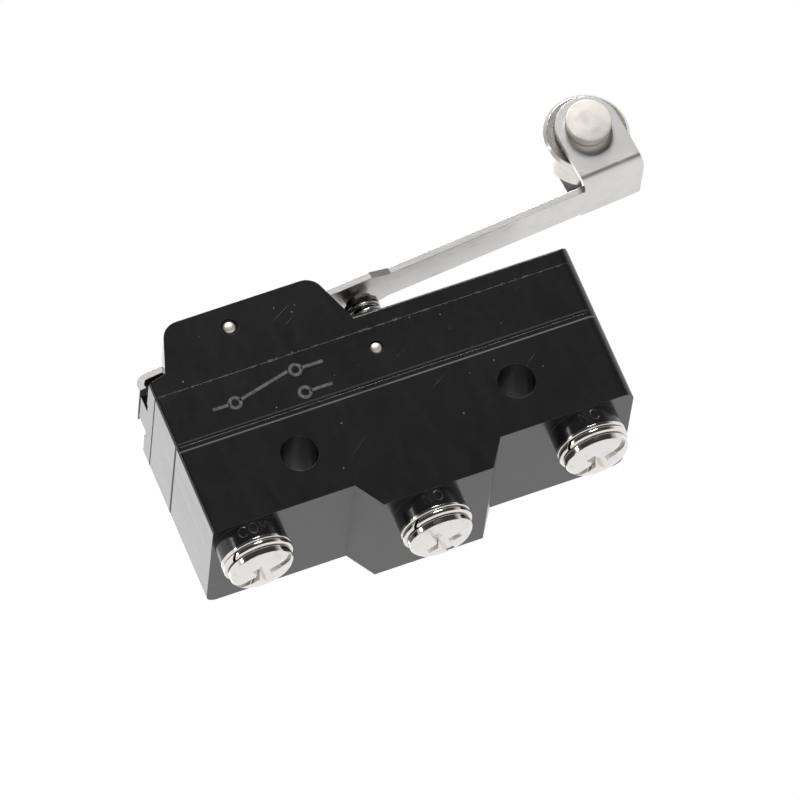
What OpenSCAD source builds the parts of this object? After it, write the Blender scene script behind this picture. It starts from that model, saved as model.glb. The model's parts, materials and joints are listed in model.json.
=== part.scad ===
// Snap-action lever switch with a roller: moulded case, cover and lever housing,
// a folded sheet-metal lever, and the snap mechanism inside the case.
// The origin lies midway between the two mounting-hole axes, at mid-thickness.
// +X runs towards the roller, +Y from the front face to the back face, +Z up to the lever.

/* [Case] */
// Length of the moulded body
body_l = 49.2; // [48.4:0.2:54]
// Thickness of the body, front face to back face
body_w = 17.45; // [17:0.05:20]
// Distance between the two mounting holes
hole_pitch = 25.4; // [24.6:0.1:26.2]
// Diameter of the mounting holes
hole_d = 4.2; // [3.6:0.1:4.6]
// How far the middle of the body lies from the middle of the holes
body_shift = -0.36; // [-0.6:0.02:0.2]
// Hole axis down to the underside beside the middle step
side_drop = 5.7; // [5:0.1:7]
// Height of the middle step below that underside
step_h = 3.2; // [2.4:0.1:4]
// Width of the middle step at its bottom
step_w = 12.8; // [11:0.2:14]
// Run of the step's slanted sides
step_run = 2.1; // [1:0.1:2.4]
// Hole axis up to the joint between case and cover
case_rise = 5.3; // [5:0.1:6.5]
// Radius of the rounded upright edges
edge_r = 1.4; // [0.8:0.1:1.8]
// Chamfer along the joint line
joint_chamfer = 0.22; // [0.1:0.02:0.35]
// Plastic between a mounting hole and the contact chamber
hole_wall = 1.5; // [1.2:0.1:2.4]

/* [Cover] */
// Height of the cover above the case
cover_h = 6.2; // [6:0.1:7.5]
// Thickness of the side walls round the contact chamber
wall = 2.1; // [1.6:0.1:2.4]
// Thickness of the end walls of the contact chamber
end_wall = 1.5; // [1.2:0.1:1.8]
// Thickness of the cover's roof
roof = 1.2; // [1:0.1:1.5]
// Depth of the cover's lip inside the case
lip_h = 0.8; // [0.5:0.1:1.2]
// Thickness of that lip
lip_t = 0.6; // [0.4:0.1:0.8]

/* [Lever housing] */
// Thickness of the housing's base plate
slab_h = 1.9; // [1.6:0.1:3]
// Height of the hinge cheeks above the base plate
cheek_h = 6.05; // [5.7:0.05:7]
// Length of the cheeks along their top
cheek_top = 17.4; // [16:0.2:18]
// Run of the cheeks' slanted left ends
cheek_run = 1.9; // [1.2:0.1:2.2]
// Run of the cheeks' slanted right ends
cheek_run_right = 2.4; // [1.6:0.1:2.8]
// Radius of the cheeks' upper corners
cheek_r = 2.1; // [1:0.1:2.6]
// Left end of the body to the foot of the cheeks
cheek_set = 2.1; // [1.6:0.1:2.4]
// Rise of the shoulder outside the cheeks
shoulder_h = 0.55; // [0.2:0.05:0.8]
// Width of the slot between the cheeks
slot_w = 7.6; // [7.2:0.1:8.4]
// Width of the stop under the lever's tail
stop_w = 4.8; // [3:0.2:6]
// Length of that stop
stop_l = 1.7; // [1:0.1:2]

/* [Lever] */
// Left end of the body to the hinge pin
hinge_inset = 10.76; // [10.4:0.02:11.4]
// Hinge pin's height above the base plate
hinge_rise = 3.5; // [3.3:0.05:3.9]
// Diameter of the hinge pin
hinge_d = 1.6; // [1.3:0.05:1.9]
// Angle of the free lever above the body
lever_angle = 4.8; // [4:0.1:5.5]
// Thickness of the lever's sheet
sheet = 0.8; // [0.6:0.05:0.95]
// Hinge pin's axis to the underside of the lever
sheet_rise = 1.05; // [1:0.05:1.3]
// Width of the lever beside the housing
wide_w = 7; // [6.6:0.1:7.1]
// Width of the lever's arm
arm_w = 5.2; // [4.4:0.1:6.2]
// Hinge pin to the start of the lever's neck
neck_s = 18.2; // [16.8:0.2:22]
// Length of the neck between the wide part and the arm
neck_l = 2.4; // [1.4:0.2:4]
// Outer radius of the bends
bend_r = 1.3; // [1.1:0.05:1.6]
// Hinge pin's axis to the bottom of the side flanges
flange_drop = 1.9; // [1.5:0.1:2.2]
// Reach of the flanges beyond the hinge, towards the roller
flange_l = 8; // [5:0.5:9]
// Reach of the lever's tail behind the hinge pin
tail_l = 10.55; // [10.2:0.05:10.7]

/* [Roller] */
// Hinge pin to roller pin, along the lever
roller_arm = 48.3; // [44:0.1:52]
// Roller pin's height above the hinge pin, square to the lever
roller_rise = 7.75; // [7.5:0.05:9]
// Diameter of the roller
roller_d = 9.7; // [8.6:0.1:10]
// Width of the roller's tread
roller_w = 4; // [3.4:0.1:4.6]
// Sideways float of the roller, towards the back
roller_float = -0.5; // [-0.8:0.1:0.8]
// Diameter of the roller pin between the ears
pin_d = 3; // [2.4:0.1:3.4]
// Diameter of the roller pin's head
pin_head_d = 5.2; // [4.2:0.1:5.6]
// Height of the roller pin's head
pin_head_h = 1.3; // [0.8:0.1:1.6]
// Width over the bracket's two ears
bracket_w = 8; // [7.4:0.1:8.6]
// Width of each ear
ear_w = 7.3; // [6.4:0.1:8]

/* [Plunger] */
// Plunger's place along the body
plunger_x = 2.3; // [2:0.05:2.6]
// Diameter of the plunger's stem
stem_d = 2; // [1.6:0.1:2]
// Diameter of the button under the lever
button_d = 3; // [2.4:0.1:3.6]
// Height of that button
button_h = 0.8; // [0.5:0.05:1.2]
// Diameter of the collar that holds the spring
flange_d = 4; // [3.8:0.1:4.4]
// Thickness of that collar
flange_t = 0.5; // [0.3:0.05:0.8]
// Travel of the plunger when the lever is fully pressed
plunger_travel = 2.6; // [2.5:0.02:2.7]
// Wire of the return spring
wire_d = 0.5; // [0.35:0.05:0.5]
// Outer diameter of the return spring
spring_d = 4.1; // [4:0.1:4.5]
// Coils of the return spring
spring_turns = 6; // [4:0.5:6.5]

/* [Snap mechanism] */
// Left end of the body to the root of the snap blade
blade_inset = 5.96; // [5.6:0.02:6.4]
// Right end of the body to the contacts
contact_inset = 9.84; // [9.4:0.02:10.8]
// Height of the blade above the chamber's floor
blade_rise = 3; // [2.9:0.05:3.2]
// Thickness of the blade
blade_t = 0.3; // [0.2:0.02:0.4]
// Width of the blade's middle strip
blade_mid_w = 3; // [2.4:0.1:3.4]
// Width of each bowed side strip
bow_w = 1.6; // [1.2:0.1:1.8]
// Rise of the bowed side strips
bow_h = 0.9; // [0.5:0.1:1]
// Angle that the blade swings
blade_swing = 0.9; // [0.7:0.05:1]
// Diameter of the contacts
contact_d = 3.2; // [2.6:0.1:3.8]
// Height of each contact
contact_h = 0.6; // [0.45:0.05:0.7]

/* [Terminals] */
// Left end of the body to the common terminal
com_inset = 4.26; // [4.1:0.02:4.6]
// Right end of the body to the normally closed terminal
nc_inset = 5.74; // [5.5:0.02:5.8]
// Normally open terminal's place, from the middle of the holes
no_x = -1.1; // [-1.6:0.05:-0.6]
// Diameter of the terminal bosses
boss_d = 7.8; // [7:0.1:8]
// Height of the terminal bosses
boss_h = 2.1; // [1.6:0.1:3]
// Diameter of the threaded inserts
insert_d = 5.8; // [5.2:0.1:6.2]
// Depth of the threaded inserts
insert_h = 5.6; // [5:0.1:6]
// Thread diameter of the terminal screws
screw_d = 4; // [3:0.1:4.2]
// Length of the screws below their heads
screw_l = 6; // [5:0.2:6.6]
// Diameter of the screw heads
screw_head_d = 7.3; // [6:0.1:8]
// Height of the screw heads
screw_head_h = 1.6; // [1.2:0.1:2.4]
// Thickness of the plain washers
washer_t = 0.4; // [0.3:0.05:0.8]
// Thickness of the spring washers
lock_t = 0.8; // [0.6:0.05:1.2]
// Thickness of the terminal strips
strip_t = 0.8; // [0.6:0.05:1]
// Width of the terminal strips
strip_w = 3.6; // [3:0.1:4]

/* [Hidden] */
$fn = 64;

// clearances
fit = 0.05;         // radial running clearance of pins, stem and roller
seat = 0.1;         // gap between parts that meet without a fit
touch = 0.06;       // gap at a closed pair of contacts
over = 1;           // overrun of cuts

// levels of the body
x_left = body_shift - body_l / 2;
x_right = body_shift + body_l / 2;
hinge_x = x_left + hinge_inset;
blade_root_x = x_left + blade_inset;
contact_x = x_right - contact_inset;
com_x = x_left + com_inset;
nc_x = x_right - nc_inset;
z_side = -side_drop;
z_step = z_side - step_h;
z_joint = case_rise;
z_cover = z_joint + cover_h;
z_slab = z_cover + slab_h;
z_cheek = z_slab + cheek_h;
z_floor = hole_d / 2 + hole_wall;
z_roof = z_cover - roof;
y_in = body_w / 2 - wall;
x_in_left = x_left + end_wall;
x_in_right = x_right - end_wall;
y_lip = y_in - lip_t;

// housing pin that ties the lever housing to the cover
lock_pin_x = -0.1;
lock_pin_z = z_cover - 2.4;
lock_pin_d = 1.5;
lug_l = 4.2;
lug_t = 1.2;
lug_drop = 3.7;
pin_recess = 0.12;
mouth_d = 0.35;
mouth_h = 0.3;

// lever
hinge_z = z_slab + hinge_rise;
ear_s = roller_arm - ear_w / 2;
tail_drop = 0.75;
tail_curl = 1.0;
tip_n = -0.65;
stop_gap = 0.2;

// plunger: its head lies just under the lever's underside
lever_under = hinge_z + sheet_rise / cos(lever_angle) + (plunger_x - hinge_x) * tan(lever_angle);
dome_r = 6;
plunger_top = lever_under - dome_r * (1 / cos(lever_angle) - 1) - seat;
dome_h = dome_r - sqrt(dome_r * dome_r - button_d * button_d / 4);
head_z = plunger_top - button_h - flange_t;
spring_z = z_cover;
collar_d = spring_d - 2 * wire_d - 2 * seat;
collar_h = 1.2;
spring_bore = spring_d + 4 * seat;

// snap mechanism
blade_z = z_floor + blade_rise;
blade_drop = (plunger_x - blade_root_x) * tan(blade_swing);
contact_drop = (contact_x - blade_root_x) * tan(blade_swing);
stem_z = blade_z + blade_t / 2 - blade_drop + plunger_travel + seat;
nc_contact_z = blade_z + blade_t / 2 + contact_h + touch;
no_contact_z = blade_z - blade_t / 2 - contact_h - contact_drop - touch;
bow_y = blade_mid_w / 2 + 0.5;
bow_right = contact_x - contact_d / 2 - 1.6;
bow_left = -8.6;
bow_drop = 0.9;
post_l = 2.4;
root_d = 0.7;       // rolled root of the blade, which turns in the post
shelf_right = bow_left + 1.4;
anchor_l = 3.2;

// terminals: com at the left, no in the middle, nc at the right
terminal_y = -(body_w - boss_d) / 2;
thread_clear = 0.05;
insert_bore = screw_d + 2 * thread_clear;
washer_d = screw_head_d + 0.7;
washer_bore = screw_d + 0.3;
slot_cut = 0.9;

// ---- helpers ----

// an outline in X and Z, extruded along Y and centred on y
module along_y(w, y = 0) translate([0, y, 0]) rotate([90, 0, 0]) linear_extrude(w, center = true) children();

// an outline in Y and Z, extruded along X from x0 to x1
module along_x(x0, x1) translate([x0, 0, 0]) rotate([90, 0, 90]) linear_extrude(x1 - x0) children();

module box(x0, x1, y0, y1, z0, z1) translate([x0, y0, z0]) cube([x1 - x0, y1 - y0, z1 - z0]);

// a round bar or hole along Y, from y0 to y1
module bar_y(d, y0, y1) rotate([-90, 0, 0]) translate([0, 0, y0]) cylinder(d = d, h = y1 - y0);

function unit(v) = v / norm(v);
function cut_back(p, a, b, r) = r / tan(acos(unit(a - p) * unit(b - p)) / 2);
function corner_mid(p, a, b, r) =
    p + unit(unit(a - p) + unit(b - p)) * r / sin(acos(unit(a - p) * unit(b - p)) / 2);

// a convex outline whose corners have the given radii, as true arcs
module rounded(pts, radii) {
    n = len(pts);
    polygon([for (i = [0 : n - 1]) let (p = pts[i], a = pts[(i + n - 1) % n], b = pts[(i + 1) % n])
        each radii[i] > 0
            ? [p + unit(a - p) * cut_back(p, a, b, radii[i]), p + unit(b - p) * cut_back(p, a, b, radii[i])]
            : [p]]);
    for (i = [0 : n - 1]) if (radii[i] > 0)
        translate(corner_mid(pts[i], pts[(i + n - 1) % n], pts[(i + 1) % n], radii[i])) circle(r = radii[i]);
}

function box_pts(x0, x1, y0, y1) = [[x0, y0], [x1, y0], [x1, y1], [x0, y1]];

// a strip of even thickness along a line of points
function normal(c, i) = let (a = c[max(i - 1, 0)], b = c[min(i + 1, len(c) - 1)], d = unit(b - a)) [-d[1], d[0]];
function ribbon(c, t) = concat([for (i = [0 : len(c) - 1]) c[i] + normal(c, i) * t / 2],
    [for (i = [len(c) - 1 : -1 : 0]) c[i] - normal(c, i) * t / 2]);
function arc(mid, r, a0, a1, n) = [for (i = [0 : n]) let (a = a0 + (a1 - a0) * i / n) mid + r * [cos(a), sin(a)]];

// ---- moulded body ----

// plan of the body; its front left upright edge is sharper than the others
module body_plan() rounded(box_pts(x_left, x_right, -body_w / 2, body_w / 2), [0.4, edge_r, edge_r, edge_r]);

// a slice of the body between two levels, with a chamfer at the joint line
module body_slice(z0, z1, low, high) intersection() {
    translate([0, 0, z0]) linear_extrude(z1 - z0) body_plan();
    along_x(x_left, x_right) chamfered(-body_w / 2, body_w / 2, z0, z1, low, high);
    along_y(body_w) chamfered(x_left, x_right, z0, z1, low, high);
}

module chamfered(a0, a1, z0, z1, low, high) polygon([[a0 + low, z0], [a1 - low, z0], [a1, z0 + low],
    [a1, z1 - high], [a1 - high, z1], [a0 + high, z1], [a0, z1 - high], [a0, z0 + low]]);

module middle_step() along_y(body_w) polygon([[-step_w / 2 - step_run, z_side], [-step_w / 2, z_step],
    [step_w / 2, z_step], [step_w / 2 + step_run, z_side], [step_w / 2 + step_run, z_side + over],
    [-step_w / 2 - step_run, z_side + over]]);

module at_terminal(x, z) translate([x, terminal_y, z]) children();

// room for a threaded insert and the strip above it
module insert_room(x, z_face) {
    at_terminal(x, z_face - boss_h - over) cylinder(d = insert_d + 2 * fit, h = over + insert_h + fit);
    box(x - strip_w / 2 - fit, x + strip_w / 2 + fit, terminal_y - strip_t / 2 - fit,
        terminal_y + strip_t / 2 + fit, z_face - boss_h + insert_h - over, z_floor + over);
}

module case_base() color("#202022") difference() {
    union() {
        body_slice(z_side, z_joint, 0, joint_chamfer);
        middle_step();
        at_terminal(com_x, z_side - boss_h) cylinder(d = boss_d, h = boss_h + over);
        at_terminal(no_x, z_step - boss_h) cylinder(d = boss_d, h = boss_h + over);
        at_terminal(nc_x, z_side - boss_h) cylinder(d = boss_d, h = boss_h + over);
    }
    box(x_in_left, x_in_right, -y_in, y_in, z_floor, z_joint + over);
    for (s = [-1, 1]) translate([s * hole_pitch / 2, 0, 0]) bar_y(hole_d, -body_w, body_w);
    insert_room(com_x, z_side);
    insert_room(no_x, z_step);
    insert_room(nc_x, z_side);
}

module cover() color("#232325") difference() {
    union() {
        body_slice(z_joint, z_cover, joint_chamfer, 0);
        box(x_in_left + fit, x_in_right - fit, -y_in + fit, y_in - fit, z_joint - lip_h, z_joint + over);
        translate([plunger_x, 0, z_cover - roof / 2]) cylinder(d = collar_d, h = collar_h + roof / 2);
    }
    box(x_in_left + lip_t, x_in_right - lip_t, -y_lip, y_lip, z_joint - lip_h - over, z_roof);
    translate([plunger_x, 0, z_roof - over]) cylinder(d = stem_d + 2 * fit, h = roof + collar_h + 2 * over);
    for (s = [-1, 1]) lug(s, fit, over);
    translate([lock_pin_x, 0, lock_pin_z]) bar_y(lock_pin_d + 2 * fit, -body_w, body_w);
}

// ---- lever housing ----

// one of the two lugs that hang inside the cover and take the housing pin
module lug(side, gap, lift) {
    y0 = side > 0 ? y_lip - lug_t - fit : -y_lip + fit;
    box(lock_pin_x - lug_l / 2 - gap, lock_pin_x + lug_l / 2 + gap, y0 - gap, y0 + lug_t + gap,
        z_cover - lug_drop - gap, z_cover + lift);
}

module cheek_outline() {
    foot = x_left + cheek_set;
    top_left = foot + cheek_run;
    top_right = top_left + cheek_top;
    foot_right = top_right + cheek_run_right;
    rounded([[foot, z_slab - slab_h / 2], [foot, z_slab + shoulder_h], [top_left, z_cheek], [top_right, z_cheek],
        [foot_right, z_slab], [foot_right, z_slab - slab_h / 2]], [0, 0, cheek_r, cheek_r, 0, 0]);
    polygon([[x_left, z_slab - slab_h / 2], [x_left, z_slab], [foot, z_slab + shoulder_h], [foot, z_slab - slab_h / 2]]);
}

module lever_housing() color("#1d1d1f") difference() {
    union() {
        body_slice(z_cover, z_slab, 0, joint_chamfer);
        intersection() {
            for (s = [-1, 1]) along_y((body_w - slot_w) / 2, s * (body_w + slot_w) / 4) cheek_outline();
            translate([0, 0, z_slab - slab_h / 2]) linear_extrude(cheek_h + slab_h) body_plan();
        }
        box(x_left, x_left + stop_l, -stop_w / 2, stop_w / 2, z_slab - slab_h / 2, stop_z);
        for (s = [-1, 1]) lug(s, 0, slab_h / 2);
    }
    translate([hinge_x, 0, hinge_z]) {
        bar_y(hinge_d + 2 * fit, -body_w, body_w);
        for (s = [-1, 1]) translate([0, s * body_w / 2, 0]) bar_y(hinge_d + mouth_d, -mouth_h, mouth_h);
    }
    translate([lock_pin_x, 0, lock_pin_z]) bar_y(lock_pin_d + 2 * fit, -body_w, body_w);
    translate([plunger_x, 0, z_cover - over]) cylinder(d = spring_bore, h = slab_h + 2 * over);
}

module hinge_pin() color("#c9c9cb") translate([hinge_x, 0, hinge_z])
    bar_y(hinge_d, -body_w / 2 + pin_recess, body_w / 2 - pin_recess);

module housing_pin() color("#c9c9cb") translate([lock_pin_x, 0, lock_pin_z])
    bar_y(lock_pin_d, -body_w / 2 + pin_recess, body_w / 2 - pin_recess);

// ---- lever ----

// from the hinge pin's axis, along the free lever
module on_lever() translate([hinge_x, 0, hinge_z]) rotate([0, -lever_angle, 0]) children();

n_top = sheet_rise + sheet;
tail_s = -flange_drop - 1.4;
tip_a = 12;

// middle line of the tail: a joggle down, a straight run and a curl over the end of the body
tail_line = let (mid = sheet_rise + sheet / 2, low = mid - tail_drop, turn = [-tail_l + tail_curl, low - tail_curl])
    concat([[tail_s + 0.6, mid], [tail_s - 0.2, mid - 0.03], [tail_s - 0.7, mid - 0.14], [tail_s - 2.3, low + 0.14],
        [tail_s - 2.9, low + 0.03]], arc(turn, tail_curl, 90, 180 - tip_a / 4, 6), [[-tail_l, tip_n]]);

// lowest corner of the tail's tip on the free lever, which the stop lies under
stop_z = hinge_z - (tail_l + sheet / 2) * sin(lever_angle) + tip_n * cos(lever_angle) - stop_gap;

// plan of the flat sheet: wide beside the hinge, narrow along the arm
module sheet_plan() {
    flat_w = wide_w / 2 - bend_r;
    outline = [[tail_s, wide_w / 2], [-flange_drop - 1, wide_w / 2], [-flange_drop - 1, flat_w], [flange_l, flat_w],
        [flange_l, wide_w / 2], [neck_s, wide_w / 2], [neck_s + neck_l, arm_w / 2], [ear_s, arm_w / 2],
        [ear_s, bracket_w / 2 - bend_r], [ear_s + ear_w, bracket_w / 2 - bend_r]];
    polygon(concat(outline, [for (i = [len(outline) - 1 : -1 : 0]) [outline[i][0], -outline[i][1]]]));
}

// a quarter bend along the lever; up is 1 for the roller's ears and -1 for the hinge flanges
module bend(s0, s1, half_w, side, up) {
    n_mid = up > 0 ? sheet_rise + bend_r : n_top - bend_r;
    along_x(s0, s1) translate([side * (half_w - bend_r), n_mid]) intersection() {
        difference() {
            circle(r = bend_r, $fn = 48);
            circle(r = bend_r - sheet, $fn = 48);
        }
        translate([side > 0 ? 0 : -bend_r, up > 0 ? -bend_r : 0]) square(bend_r);
    }
}

module flange_outline() rounded([[-flange_drop - 1, -flange_drop], [flange_drop, -flange_drop],
    [flange_l, n_top - bend_r - 0.6], [flange_l, n_top - bend_r], [-flange_drop - 1, n_top - bend_r]],
    [flange_drop * 0.8, flange_drop * 0.8, 0, 0, 0]);

module ear_outline() {
    translate([roller_arm, roller_rise]) circle(d = ear_w);
    translate([ear_s, sheet_rise + bend_r]) square([ear_w, roller_rise - sheet_rise - bend_r]);
}

module lever() color("#d6d0ce") on_lever() difference() {
    union() {
        translate([0, 0, sheet_rise]) linear_extrude(sheet) sheet_plan();
        along_y(wide_w) polygon(ribbon(tail_line, sheet));
        for (side = [-1, 1]) {
            bend(-flange_drop - 1, flange_l, wide_w / 2, side, -1);
            along_y(sheet, side * (wide_w - sheet) / 2) flange_outline();
            bend(ear_s, ear_s + ear_w, bracket_w / 2, side, 1);
            along_y(sheet, side * (bracket_w - sheet) / 2) ear_outline();
        }
    }
    bar_y(hinge_d + 2 * fit, -body_w, body_w);
    translate([roller_arm, 0, roller_rise]) bar_y(pin_d + 2 * fit, -body_w, body_w);
}

// ---- roller ----

module at_roller() on_lever() translate([roller_arm, 0, roller_rise]) children();

// a shape turned about the roller's axis, its outline drawn as radius and y
module turned_y() rotate([-90, 0, 0]) rotate_extrude() children();

module roller_pin() color("#d8d0c8") at_roller() turned_y() {
    c = 0.25;
    y_ear = bracket_w / 2 + fit;
    tail_h = pin_head_h * 0.6;
    polygon([[0, -y_ear - pin_head_h], [pin_head_d / 2 - c, -y_ear - pin_head_h],
        [pin_head_d / 2, -y_ear - pin_head_h + c], [pin_head_d / 2, -y_ear], [pin_d / 2, -y_ear],
        [pin_d / 2, y_ear], [pin_head_d * 0.42, y_ear], [pin_head_d * 0.42, y_ear + tail_h / 2],
        [pin_head_d * 0.3, y_ear + tail_h], [0, y_ear + tail_h]]);
}

module roller() color("#ded6cc") at_roller() translate([0, roller_float, 0]) turned_y() {
    c = 0.35;
    hub_r = pin_d / 2 + 1;
    dish = 0.25;
    h = roller_w / 2;
    polygon([[pin_d / 2 + fit, -h], [hub_r, -h], [hub_r + dish, -h + dish], [roller_d / 2 - 1.1 - dish, -h + dish],
        [roller_d / 2 - 1.1, -h], [roller_d / 2 - c, -h], [roller_d / 2, -h + c], [roller_d / 2, h - c],
        [roller_d / 2 - c, h], [roller_d / 2 - 1.1, h], [roller_d / 2 - 1.1 - dish, h - dish],
        [hub_r + dish, h - dish], [hub_r, h], [pin_d / 2 + fit, h]]);
}

// ---- plunger and spring ----

module plunger() color("#8f8b86") translate([plunger_x, 0, 0]) {
    translate([0, 0, stem_z]) cylinder(d = stem_d, h = head_z - stem_z + flange_t / 2);
    translate([0, 0, head_z]) cylinder(d = flange_d, h = flange_t);
    translate([0, 0, head_z]) cylinder(d = button_d, h = flange_t + button_h - dome_h);
    intersection() {
        translate([0, 0, head_z]) cylinder(d = button_d, h = flange_t + button_h + over);
        translate([0, 0, plunger_top - dome_r]) sphere(r = dome_r, $fn = 96);
    }
}

// height reached after u turns of the spring, whose end turns lie closer
spring_h = head_z - spring_z - wire_d - 2 * fit;
end_u = 0.75;
end_h = wire_d * 1.05 * end_u;
function rise(u) = let (v = min(max((u - end_u) / (spring_turns - 2 * end_u), 0), 1))
    end_h * (min(u, end_u) + max(u - spring_turns + end_u, 0)) / end_u + v * (spring_h - 2 * end_h);

// a closed coil: rings of points round the helix
module return_spring() color("#cfcbc6") {
    sides = 8;
    per_turn = 16;
    rings = round(spring_turns * per_turn);
    mid_r = (spring_d - wire_d) / 2;
    pts = [for (i = [0 : rings]) let (a = 360 * i / per_turn, z = spring_z + fit + wire_d / 2 + rise(i / per_turn))
        for (j = [0 : sides - 1]) let (b = 360 * (j + 0.5) / sides, r = mid_r + wire_d / 2 * cos(b))
            [plunger_x + r * cos(a), r * sin(a), z + wire_d / 2 * sin(b)]];
    side_faces = [for (i = [0 : rings - 1]) for (j = [0 : sides - 1]) let (k = (j + 1) % sides)
        [i * sides + j, i * sides + k, (i + 1) * sides + k, (i + 1) * sides + j]];
    ends = [[for (j = [sides - 1 : -1 : 0]) j], [for (j = [0 : sides - 1]) rings * sides + j]];
    polyhedron(pts, concat(side_faces, ends), convexity = 10);
}

// ---- snap mechanism ----

// blade: a middle strip from the rolled root, a cross piece round the contact, and two bowed side strips
module snap_blade() color("#c98f4a") {
    tip_x = contact_x + contact_d / 2 + 0.5;
    half = bow_y + bow_w;
    difference() {
        union() {
            translate([blade_root_x, 0, blade_z]) bar_y(root_d, -blade_mid_w / 2, blade_mid_w / 2);
            box(blade_root_x, bow_right + over, -blade_mid_w / 2, blade_mid_w / 2,
                blade_z - blade_t / 2, blade_z + blade_t / 2);
            box(bow_right, tip_x, -half, half, blade_z - blade_t / 2, blade_z + blade_t / 2);
        }
        translate([contact_x, 0, blade_z]) cylinder(d = contact_d / 2 + 2 * fit, h = blade_t + over, center = true);
    }
    for (s = [-1, 1]) along_y(bow_w, s * (bow_y + bow_w / 2)) polygon(ribbon(bow_line, blade_t));
}

// bowed side strip: a parabola that leaves the blade flat and drops into the anchor's groove
bow_line = [for (i = [0 : 12]) let (u = i / 12)
    [bow_right + 0.4 + (bow_left - bow_right) * u, blade_z - bow_drop * u + 4 * bow_h * u * (1 - u)]];

// a double-headed rivet through the blade's tip
module moving_contact() color("#d9d9dc") translate([contact_x, 0, blade_z]) {
    cylinder(d = contact_d / 2, h = blade_t + contact_h, center = true);
    for (s = [-1, 1]) translate([0, 0, s * (blade_t + contact_h) / 2])
        cylinder(d = contact_d, h = contact_h - fit, center = true);
}

// grooved block that the bowed strips push against
module spring_anchor() color("#b9b0a2") difference() {
    x1 = bow_left + 0.4;
    half = bow_y + bow_w;
    z0 = z_floor + strip_t;
    box(x1 - anchor_l, x1 + 0.5, -half, half, z0, blade_z - blade_t - 0.25);
    for (s = [-1, 1]) along_y(bow_w + 4 * seat, s * (bow_y + bow_w / 2))
        polygon([[x1 - 0.35, blade_z - bow_drop - 0.1], [x1 + 1.6, blade_z - bow_drop + 2.2],
            [x1 + 1.6, blade_z - bow_drop - 1.4], [x1 + 0.1, blade_z - bow_drop - 0.7]]);
}

// ---- terminals ----

module insert(x, z_face) difference() {
    union() {
        at_terminal(x, z_face - boss_h) cylinder(d = insert_d, h = insert_h);
        box(x - strip_w / 2, x + strip_w / 2, terminal_y - strip_t / 2, terminal_y + strip_t / 2,
            z_face - boss_h + insert_h - over, z_floor + strip_t);
    }
    at_terminal(x, z_face - boss_h - over) cylinder(d = insert_bore, h = over + insert_h - 0.6);
}

// common terminal: insert, riser, a shelf on the chamber's floor and the post that holds the blade's root
module com_terminal() color("#c8a45a") {
    half = bow_y + bow_w;
    insert(com_x, z_side);
    box(com_x - strip_w / 2, com_x + strip_w / 2, terminal_y - strip_t / 2, half, z_floor, z_floor + strip_t);
    box(com_x, shelf_right, -half, half, z_floor, z_floor + strip_t);
    difference() {
        box(blade_root_x - post_l / 2 - 0.5, blade_root_x + post_l / 2, -half, half, z_floor, blade_z + 1);
        translate([blade_root_x, 0, blade_z])
            bar_y(root_d + 2 * fit, -blade_mid_w / 2 - seat, blade_mid_w / 2 + seat);
        box(blade_root_x, blade_root_x + post_l, -blade_mid_w / 2 - seat, blade_mid_w / 2 + seat,
            blade_z - blade_t / 2 - seat, blade_z + blade_t / 2 + seat);
    }
}

// normally open terminal: an arm on the chamber's floor to the lower contact
module no_terminal() color("#c8a45a") {
    insert(no_x, z_step);
    box(no_x - strip_w / 2, contact_x + strip_w / 2, terminal_y - strip_t, terminal_y + strip_t,
        z_floor, z_floor + strip_t);
    box(contact_x - strip_w / 2, contact_x + strip_w / 2, terminal_y - strip_t, contact_d / 2,
        z_floor, z_floor + strip_t);
}

// normally closed terminal: a riser beside the chamber's end and an arm over the upper contact
module nc_terminal() color("#c8a45a") {
    arm_z = nc_contact_z + contact_h;
    insert(nc_x, z_side);
    box(nc_x - strip_w / 2, nc_x + strip_w / 2, terminal_y - strip_t / 2, terminal_y + strip_t / 2,
        z_floor, arm_z + strip_t);
    box(nc_x - strip_w / 2, nc_x + strip_w / 2, terminal_y - strip_t / 2, contact_d / 2, arm_z, arm_z + strip_t);
    box(contact_x - contact_d / 2, nc_x, -contact_d / 2, contact_d / 2, arm_z, arm_z + strip_t);
}

module no_contact() color("#d9d9dc") translate([contact_x, 0, z_floor + strip_t])
    cylinder(d = contact_d, h = no_contact_z - z_floor - strip_t);

module nc_contact() color("#d9d9dc") translate([contact_x, 0, nc_contact_z]) cylinder(d = contact_d, h = contact_h);

// screw with its head down; the shank goes up into the insert
module terminal_screw(x, z_face) color("#dcdad6") {
    z_head = z_face - boss_h - washer_t - lock_t;
    at_terminal(x, z_head) cylinder(d = screw_d, h = min(screw_l, washer_t + lock_t + insert_h - 0.8));
    difference() {
        at_terminal(x, z_head) rotate([180, 0, 0]) rotate_extrude() polygon([[0, 0], [screw_head_d / 2, 0],
            [screw_head_d / 2, screw_head_h * 0.6], [screw_head_d / 2 - screw_head_h * 0.25, screw_head_h],
            [0, screw_head_h]]);
        at_terminal(x, z_head - screw_head_h) {
            cube([screw_head_d + over, slot_cut, screw_head_h], center = true);
            cube([slot_cut, screw_head_d * 0.5, screw_head_h * 1.2], center = true);
        }
    }
}

// split spring washer: a ring with a slanting cut
module lock_washer(x, z_face) color("#cfcdc9") at_terminal(x, z_face - boss_h - washer_t - lock_t) difference() {
    cylinder(d = washer_d, h = lock_t);
    translate([0, 0, -over]) cylinder(d = washer_bore, h = lock_t + 2 * over);
    rotate(205) translate([washer_d / 2 - 1, 0, lock_t / 2]) rotate([35, 0, 0])
        cube([washer_d, 0.35, 4 * lock_t], center = true);
}

module plain_washer(x, z_face) color("#d5d3cf") at_terminal(x, z_face - boss_h - washer_t) difference() {
    cylinder(d = washer_d, h = washer_t);
    translate([0, 0, -over]) cylinder(d = washer_bore, h = washer_t + 2 * over);
}

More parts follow.
